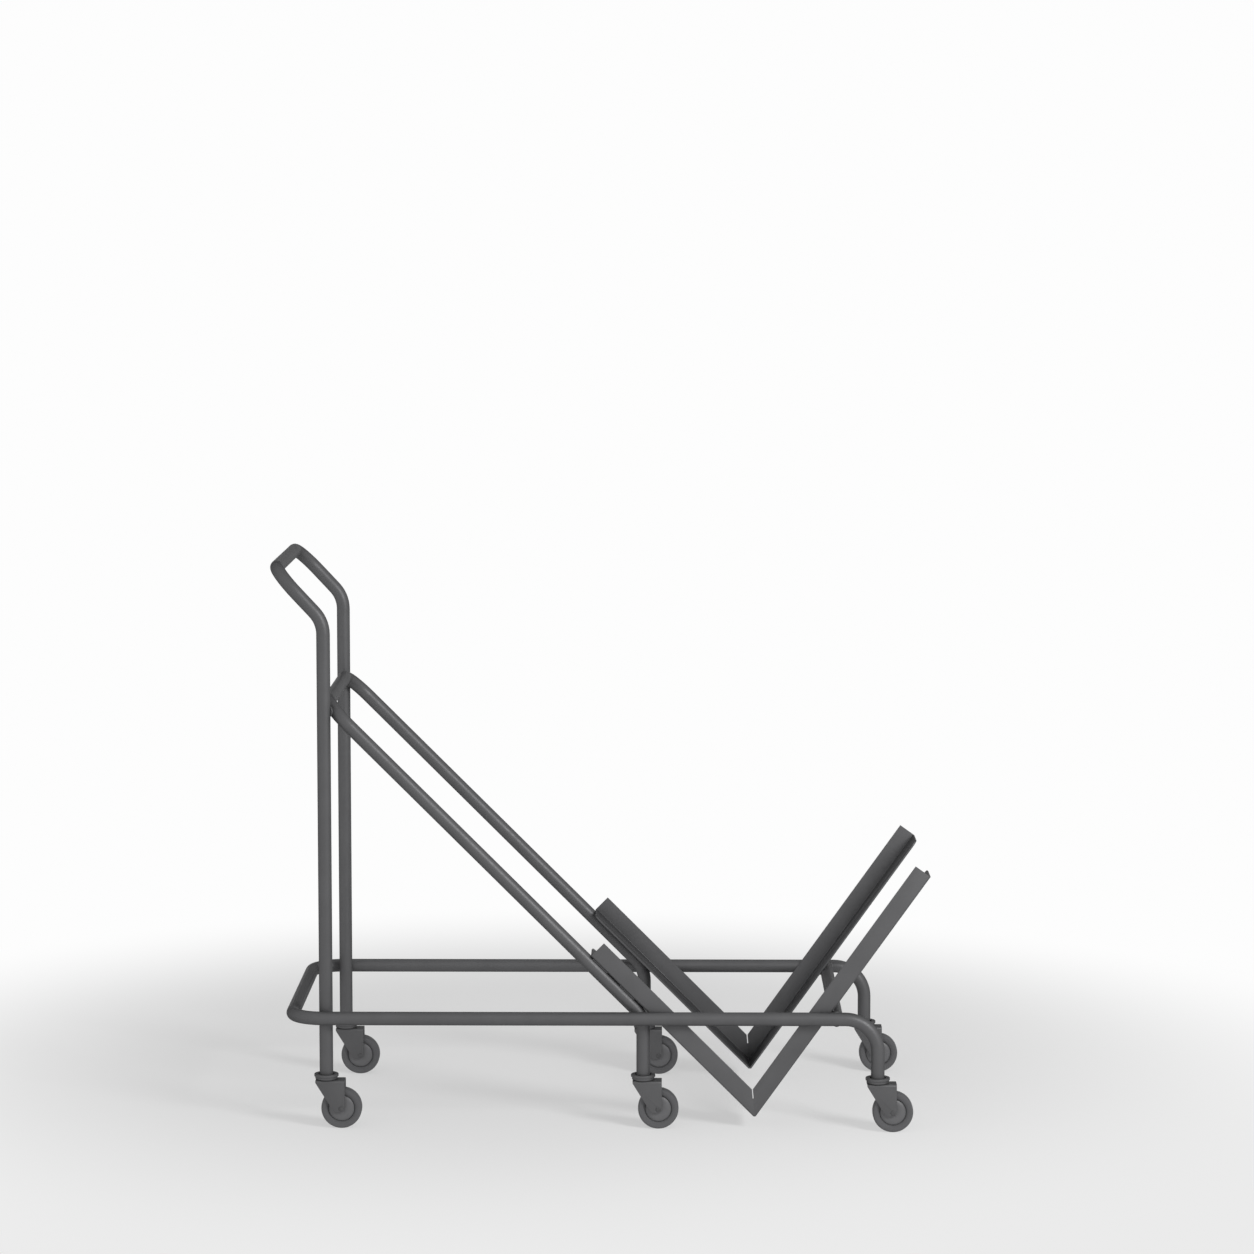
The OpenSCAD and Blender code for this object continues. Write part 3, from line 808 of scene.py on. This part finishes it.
class TROLLEY_OT_cradle_welds(bpy.types.Operator):
    """Welds the cradles to the tubes that carry them, and closes their corners"""

    bl_idname = "trolley.cradle_welds"
    bl_label = "Cradle welds"

    rear_angle: FloatProperty(
        name="Rear angle", description="Angle of the rear arms", subtype="ANGLE", default=math.pi / 4)
    front_angle: FloatProperty(
        name="Front angle", description="Angle of the front arms", subtype="ANGLE",
        default=math.radians(54.5))
    upstand: length("Upstand", "Height of the upstands", 34)
    sheet: length("Sheet", "Thickness of the cradle sheet", 3)
    slit: length("Slit", "Length of the open slit at a corner", 16)
    rail_inset: length(
        "Rail inset", "Distance from the ends of a bead along a rail to the sheet's edges", 3)
    stitch: length("Stitch", "Length of a stitch along a slope leg", 38)
    stitch_pitch: length("Stitch pitch", "Distance from one stitch to the next", 70)
    end_inset: length("End inset", "Distance from the last weld to an arm's free end or upstand", 6)
    edge_inset: length("Edge inset", "Distance from a weld to a shelf's free edge", 4)
    seam_inset: length("Seam inset", "Distance from a corner's inside weld to a shelf's free edge", 2)
    seam_gap: length("Seam gap", "Distance from a corner's welds to the sheet beside them", 1)

    def execute(self, context):
        w = settings().welds
        pitch = bead_pitch()
        beads = []
        for side, word in ((-1, "right"), (1, "left")):
            corner, rear_end = self.corner(word)
            outer = max(abs(v.y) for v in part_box(word + "_cradle_rear_arm"))
            inner = min(abs(v.y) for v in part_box(word + "_cradle_rear_arm"))
            beads += self.rail_beads(side, corner, outer, w, pitch)
            beads += self.slope_beads(side, corner, rear_end, w, pitch)
            beads += self.cross_beads(side, corner, inner, outer, w, pitch)
            beads += self.corner_seams(side, word, corner, inner, outer, w, pitch)
        weld_piece("cradle_weld_beads", beads)
        return {"FINISHED"}

    def corner(self, word):
        """Sharp corner of a cradle's outer edges, and the free end of its rear outer edge"""
        rear_low, rear_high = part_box(word + "_cradle_rear_arm")
        front_low, front_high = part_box(word + "_cradle_front_arm")
        rear_end = Vector((rear_low.x, 0, rear_high.z - self.upstand * math.cos(self.rear_angle)))
        front_end = Vector((front_high.x, 0, front_high.z - self.upstand * math.cos(self.front_angle)))
        fall, rise = math.tan(self.rear_angle), math.tan(self.front_angle)
        ahead = (rear_end.z - front_end.z + rise * (front_end.x - rear_end.x)) / (fall + rise)
        return Vector((rear_end.x + ahead, 0, rear_end.z - fall * ahead)), rear_end

    def rail_beads(self, side, corner, outer, w, pitch):
        """Beads above and below the line where each upstand touches a rail"""
        beads = []
        for way, angle in ((-1, self.rear_angle), (1, self.front_angle)):
            for lift in (-w.bead_offset, w.bead_offset):
                z = RAIL_Z + lift
                start = corner.x + way * (z - corner.z) / math.tan(angle)
                end = start - way * self.upstand / math.sin(angle)
                low, high = sorted((start, end))
                y = side * (outer + RAIL_Y - math.sqrt(TUBE_R ** 2 - w.bead_offset ** 2)) / 2
                first = Vector((low + self.rail_inset, y, z))
                last = Vector((high - self.rail_inset, y, z))
                beads.append((line_path(first, last, pitch), w.bead_radius, False))
        return beads

    def slope_beads(self, side, corner, rear_end, w, pitch):
        """Stitches along the line where a rear arm's shelf lies on a slope leg"""
        up = (rear_end - corner).normalized()
        under = Vector((-up.z, 0, up.x))
        leg_y = abs(JOINT_AT["middle_right_swivel"].y)
        drop = (TUBE_R - math.sqrt(TUBE_R ** 2 - w.bead_offset ** 2)) / 2
        arm = (rear_end - corner).length
        beads = []
        for back in (self.stitch_pitch, 0):
            last = arm - self.end_inset - back
            for shift in (-w.bead_offset, w.bead_offset):
                points = [corner + up * u + under * drop + Vector((0, side * (leg_y + shift), 0))
                          for u in (last - self.stitch, last)]
                beads.append((line_path(*points, pitch), w.bead_radius, False))
        return beads

    def cross_beads(self, side, corner, inner, outer, w, pitch):
        """Beads along the line where a front arm's shelf lies on the cross tube"""
        up = Vector((math.cos(self.front_angle), 0, math.sin(self.front_angle)))
        under = Vector((up.z, 0, -up.x))
        axis = Vector((CROSS_X, 0, RAIL_Z))
        along = (axis - corner).dot(up)
        drop = (TUBE_R - math.sqrt(TUBE_R ** 2 - w.bead_offset ** 2)) / 2
        beads = []
        for shift in (-w.bead_offset, w.bead_offset):
            foot = corner + up * (along + shift) + under * drop
            points = [foot + Vector((0, side * y, 0))
                      for y in (inner + self.edge_inset, outer - self.end_inset)]
            beads.append((line_path(*points, pitch), w.bead_radius, False))
        return beads

    def corner_seams(self, side, word, corner, inner, outer, w, pitch):
        """Dressed seams down the upstand, along the inside and along the underside of the mitre"""
        half = (math.pi - self.rear_angle - self.front_angle) / 2
        lean = self.front_angle + half
        mitre = Vector((math.cos(lean), 0, math.sin(lean)))
        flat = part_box(word + "_cradle_rear_arm")[0].z - corner.z
        sunk = w.seam_radius - w.seam_proud
        top = self.upstand / math.sin(half) - self.slit
        low = (flat + sunk) / mitre.z
        face = Vector((0, side * (outer - sunk), 0))
        inside = corner + mitre * (self.sheet / math.sin(half))
        edge = [Vector((0, side * y, 0))
                for y in (inner + self.seam_inset, outer - self.sheet - self.seam_gap)]
        under = [Vector((0, side * y, 0)) for y in (inner + self.seam_gap, outer - sunk)]
        foot = corner + mitre * low
        return [
            (line_path(foot + face, corner + mitre * top + face, pitch), w.seam_radius, False),
            (line_path(inside + edge[0], inside + edge[1], pitch), w.bead_radius, False),
            (line_path(foot + under[0], foot + under[1], pitch), w.seam_radius, False),
        ]


class TROLLEY_OT_stage(bpy.types.Operator):
    """Sets up the floor, the background, the lamp and the camera"""

    bl_idname = "trolley.stage"
    bl_label = "Stage"

    def execute(self, context):
        s = settings().stage
        scene = context.scene
        scene.view_settings.view_transform = "Standard"
        self.add_world(scene, s)
        self.add_floor(scene, s)
        self.add_lamp(scene, s)
        camera = bpy.data.cameras.new("camera")
        camera.sensor_width = SENSOR_WIDTH
        camera.lens = s.camera_lens
        camera.clip_end = CLIP_END
        camera.dof.use_dof = False
        ahead = Vector((math.sin(s.camera_yaw) * math.cos(s.camera_pitch),
                        math.cos(s.camera_yaw) * math.cos(s.camera_pitch), -math.sin(s.camera_pitch)))
        holder = bpy.data.objects.new("camera", camera)
        holder.location = s.camera_place
        holder.rotation_euler = ahead.to_track_quat("-Z", "Y").to_euler()
        scene.collection.objects.link(holder)
        scene.camera = holder
        return {"FINISHED"}

    def seen(self, tree):
        """1 for camera, glossy and transmission rays, 0 for rays that light the trolley"""
        path = tree.nodes.new("ShaderNodeLightPath")
        total = path.outputs["Is Camera Ray"]
        for name in ("Is Glossy Ray", "Is Transmission Ray"):
            add = tree.nodes.new("ShaderNodeMath")
            add.operation = "ADD"
            add.use_clamp = True
            tree.links.new(total, add.inputs[0])
            tree.links.new(path.outputs[name], add.inputs[1])
            total = add.outputs[0]
        return total

    def add_world(self, scene, s):
        """White background, and a light that is strongest near the floor and from the bright side"""
        world = bpy.data.worlds.new("studio")
        world.use_nodes = True
        tree = world.node_tree
        light = tree.nodes["Background"]
        light.inputs["Color"].default_value = (1, 1, 1, 1)
        way = tree.nodes.new("ShaderNodeTexCoord").outputs["Generated"]
        rise = tree.nodes.new("ShaderNodeSeparateXYZ")
        tree.links.new(way, rise.inputs[0])
        level = tree.nodes.new("ShaderNodeMapRange")
        level.interpolation_type = "SMOOTHSTEP"
        level.inputs["To Min"].default_value = s.horizon_level
        level.inputs["To Max"].default_value = s.sky_level
        tree.links.new(rise.outputs["Z"], level.inputs["Value"])
        turn = tree.nodes.new("ShaderNodeVectorMath")
        turn.operation = "DOT_PRODUCT"
        turn.inputs[1].default_value = s.bright_side
        tree.links.new(way, turn.inputs[0])
        side = tree.nodes.new("ShaderNodeMapRange")
        side.inputs["From Min"].default_value = -1
        side.inputs["To Min"].default_value = s.dim_share
        side.inputs["To Max"].default_value = s.bright_share
        tree.links.new(turn.outputs["Value"], side.inputs["Value"])
        both = tree.nodes.new("ShaderNodeMath")
        both.operation = "MULTIPLY"
        tree.links.new(level.outputs["Result"], both.inputs[0])
        tree.links.new(side.outputs["Result"], both.inputs[1])
        tree.links.new(both.outputs[0], light.inputs["Strength"])
        white = tree.nodes.new("ShaderNodeBackground")
        white.inputs["Strength"].default_value = s.white_level
        white.inputs["Color"].default_value = (1, 1, 1, 1)
        mix = tree.nodes.new("ShaderNodeMixShader")
        tree.links.new(self.seen(tree), mix.inputs[0])
        tree.links.new(light.outputs[0], mix.inputs[1])
        tree.links.new(white.outputs[0], mix.inputs[2])
        tree.links.new(mix.outputs[0], tree.nodes["World Output"].inputs["Surface"])
        scene.world = world

    def add_floor(self, scene, s):
        """Round floor under the trolley"""
        bm = bmesh.new()
        bmesh.ops.create_circle(bm, cap_ends=True, segments=s.floor_steps, radius=s.floor_radius)
        mesh = bpy.data.meshes.new("floor")
        bm.to_mesh(mesh)
        bm.free()
        mesh.materials.append(self.floor_material(s))
        floor = bpy.data.objects.new("floor", mesh)
        scene.collection.objects.link(floor)

    def faded(self, tree, middle, start, end):
        """0 within start metres of a place on the floor, 1 beyond end metres"""
        reach = tree.nodes.new("ShaderNodeVectorMath")
        reach.operation = "DISTANCE"
        reach.inputs[1].default_value = middle
        tree.links.new(tree.nodes.new("ShaderNodeTexCoord").outputs["Object"], reach.inputs[0])
        fade = tree.nodes.new("ShaderNodeMapRange")
        fade.interpolation_type = "SMOOTHSTEP"
        fade.inputs["From Min"].default_value = start
        fade.inputs["From Max"].default_value = end
        tree.links.new(reach.outputs["Value"], fade.inputs["Value"])
        return fade.outputs["Result"]

    def floor_material(self, s):
        """Pale floor that takes the trolley's shadow and fades to the white of the background, with
        painted shade greying that white in front
        """
        made = bpy.data.materials.new("floor")
        made.use_nodes = True
        tree = made.node_tree
        tree.nodes.remove(tree.nodes["Principled BSDF"])
        fade = self.faded(tree, s.fade_middle, s.fade_start, s.fade_end)
        # Painted shade: the white beyond the lit patch turns grey towards the front
        pale = self.faded(tree, s.front_shade_middle, s.front_shade_start, s.front_end)
        pale.node.inputs["To Min"].default_value = s.front_shade_level
        pale.node.inputs["To Max"].default_value = s.white_level
        share = tree.nodes.new("ShaderNodeMath")
        share.operation = "MULTIPLY"
        tree.links.new(fade, share.inputs[0])
        tree.links.new(self.seen(tree), share.inputs[1])
        matt = tree.nodes.new("ShaderNodeBsdfDiffuse")
        matt.inputs["Color"].default_value = (*s.floor_colour, 1)
        glow = tree.nodes.new("ShaderNodeEmission")
        glow.inputs["Strength"].default_value = s.floor_glow
        near = tree.nodes.new("ShaderNodeAddShader")
        tree.links.new(matt.outputs[0], near.inputs[0])
        tree.links.new(glow.outputs[0], near.inputs[1])
        white = tree.nodes.new("ShaderNodeEmission")
        tree.links.new(pale, white.inputs["Strength"])
        mix = tree.nodes.new("ShaderNodeMixShader")
        tree.links.new(share.outputs[0], mix.inputs[0])
        tree.links.new(near.outputs[0], mix.inputs[1])
        tree.links.new(white.outputs[0], mix.inputs[2])
        tree.links.new(mix.outputs[0], tree.nodes["Material Output"].inputs["Surface"])
        return made

    def add_lamp(self, scene, s):
        """Round lamp that isn't seen itself"""
        lamp = bpy.data.lights.new("lamp", "AREA")
        lamp.shape = "DISK"
        lamp.size = s.lamp_size
        lamp.energy = s.lamp_power
        holder = bpy.data.objects.new("lamp", lamp)
        holder.location = s.lamp_place
        facing = Vector(s.lamp_target) - Vector(s.lamp_place)
        holder.rotation_euler = facing.to_track_quat("-Z", "Y").to_euler()
        holder.visible_camera = False
        scene.collection.objects.link(holder)


STEPS = (
    TROLLEY_OT_coat_tubes, TROLLEY_OT_cradle_arms, TROLLEY_OT_forks, TROLLEY_OT_upper_races,
    TROLLEY_OT_wheels, TROLLEY_OT_axles, TROLLEY_OT_hardware, TROLLEY_OT_tube_welds,
    TROLLEY_OT_cradle_welds, TROLLEY_OT_stage,
)


class TROLLEY_PT_steps(bpy.types.Panel):
    """Lists the steps that dress the trolley"""

    bl_idname = "TROLLEY_PT_steps"
    bl_label = "Stacking Chair Trolley"
    bl_space_type = "VIEW_3D"
    bl_region_type = "UI"
    bl_category = "Trolley"

    def draw(self, context):
        for step in STEPS:
            self.layout.operator(step.bl_idname)


CLASSES = (
    TrolleyFinish, TrolleyEdges, TrolleyCaster, TrolleyWelds, TrolleyStage, TrolleySettings,
    *STEPS, TROLLEY_PT_steps,
)


def register():
    for cls in CLASSES:
        bpy.utils.register_class(cls)
    bpy.types.Scene.trolley = PointerProperty(type=TrolleySettings)


def unregister():
    del bpy.types.Scene.trolley
    for cls in reversed(CLASSES):
        bpy.utils.unregister_class(cls)


def main():
    register()
    bpy.ops.trolley.coat_tubes()
    bpy.ops.trolley.cradle_arms()
    bpy.ops.trolley.forks()
    bpy.ops.trolley.upper_races()
    bpy.ops.trolley.wheels()
    bpy.ops.trolley.axles()
    bpy.ops.trolley.hardware()
    bpy.ops.trolley.tube_welds()
    bpy.ops.trolley.cradle_welds()
    bpy.ops.trolley.stage()


if __name__ == "__main__":
    main()
